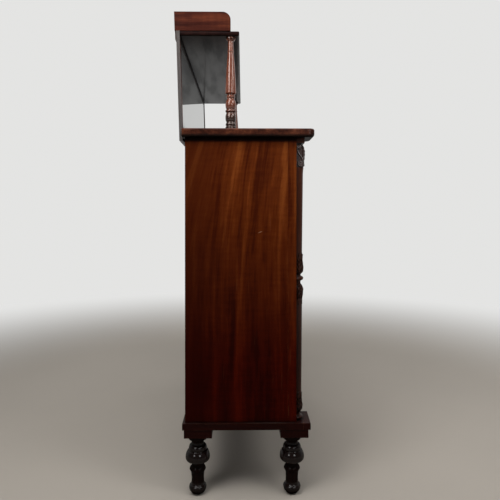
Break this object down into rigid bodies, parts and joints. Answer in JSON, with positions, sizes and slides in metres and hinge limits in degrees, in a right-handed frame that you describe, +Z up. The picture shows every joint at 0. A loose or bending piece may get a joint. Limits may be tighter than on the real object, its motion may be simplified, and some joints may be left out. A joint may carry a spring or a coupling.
{
  "type": "chiffonier",
  "caption": "Tall mahogany chiffonier on turned feet with a frieze drawer, panelled doors, half columns and a mirror-backed shelf with gallery.",
  "frame": {"origin": "on the floor under the middle of the whole piece's width and depth", "axes": "+Z up, the front with its doors faces -Y, and the length runs along X with the right-hand end at +X"},
  "size_m": [1.066, 0.4336, 1.506],
  "materials": {
    "mahogany_case": "french polished, worn",
    "mahogany_figured": "french polished crotch figure",
    "mahogany_turned": "french polished turning",
    "mahogany_carved": "carved and polished",
    "mahogany_top": "french polished, worn",
    "mahogany_dark": "dark aged polish",
    "mahogany_gallery": "french polished, faded",
    "secondary_wood": "plain planed softwood",
    "brass_old": "tarnished",
    "steel_old": "dull, aged",
    "mirror_plate": "old silvered plate"
  },
  "bodies": {
    "carcass": {"back_boards": "secondary_wood", "bottom_board": "secondary_wood", "corbel_blocks": "mahogany_carved", "corbel_left": "mahogany_carved", "corbel_right": "mahogany_carved", "cupboard_shelf": "secondary_wood", "drawer_guides": "secondary_wood", "drawer_rail": "mahogany_case", "drawer_runners": "secondary_wood", "drawer_stops": "secondary_wood", "fixing_screws": "steel_old", "foot_back_left": "mahogany_turned", "foot_back_right": "mahogany_turned", "foot_blocks": "mahogany_dark", "foot_front_left": "mahogany_turned", "foot_front_right": "mahogany_turned", "gallery_back": "mahogany_gallery", "gallery_shelf": "mahogany_gallery", "gallery_side_left": "mahogany_gallery", "gallery_side_right": "mahogany_gallery", "half_column_left": "mahogany_carved", "half_column_right": "mahogany_carved", "hinge_plates_left": "brass_old", "hinge_plates_right": "brass_old", "mirror_backing": "secondary_wood", "mirror_frame": "mahogany_gallery", "mirror_glass": "mirror_plate", "plinth_board": "mahogany_dark", "plinth_end_pieces": "mahogany_dark", "post_left": "mahogany_turned", "post_right": "mahogany_turned", "shelf_bearers": "secondary_wood", "side_panel_left": "mahogany_case", "side_panel_right": "mahogany_case", "stile_left": "mahogany_case", "stile_right": "mahogany_case", "top_board": "mahogany_top", "top_rails": "secondary_wood"},
    "drawer": {"drawer_back": "secondary_wood", "drawer_bottom": "secondary_wood", "drawer_front": "mahogany_figured", "drawer_side_left": "secondary_wood", "drawer_side_right": "secondary_wood"},
    "door_left": {"door_left_bolt_case": "brass_old", "door_left_hinge_leaves": "brass_old", "door_left_moulding": "mahogany_case", "door_left_panel": "mahogany_figured", "door_left_rails": "mahogany_case", "door_left_stiles": "mahogany_case"},
    "door_right": {"door_right_hinge_leaves": "brass_old", "door_right_moulding": "mahogany_case", "door_right_panel": "mahogany_figured", "door_right_rails": "mahogany_case", "door_right_stiles": "mahogany_case", "escutcheon": "brass_old", "lock_case": "brass_old", "meeting_bead": "mahogany_case"},
    "lock_bolt_body": {"lock_bolt": "brass_old"},
    "key_body": {"door_key": "steel_old"},
    "left_bolt_body": {"door_left_bolt": "brass_old"}
  },
  "joints": [
    {"name": "drawer_slide", "type": "slide", "parent": "carcass", "child": "drawer", "axis": [0, -1, 0], "range_m": [0, 0.24]},
    {"name": "door_left_hinge", "type": "hinge", "parent": "carcass", "child": "door_left", "pos_m": [-0.45225, -0.15702, 0.63], "axis": [0, 0, -1], "range_deg": [0, 90]},
    {"name": "door_right_hinge", "type": "hinge", "parent": "carcass", "child": "door_right", "pos_m": [0.45225, -0.15702, 0.63], "axis": [0, 0, 1], "range_deg": [0, 90]},
    {"name": "key_turn", "type": "hinge", "parent": "door_right", "child": "key_body", "pos_m": [0.02475, -0.15382, 0.646], "axis": [0, 1, 0], "range_deg": [0, 180]},
    {"name": "lock_bolt_slide", "type": "slide", "parent": "door_right", "child": "lock_bolt_body", "axis": [-1, 0, 0], "range_m": [0, 0.008]},
    {"name": "left_bolt_slide", "type": "slide", "parent": "door_left", "child": "left_bolt_body", "axis": [0, 0, 1], "range_m": [0, 0.012]}
  ],
  "couplings": [
    {"joint": "lock_bolt_slide", "follows": "key_turn", "m_per_rad": 0.0025464}
  ]
}
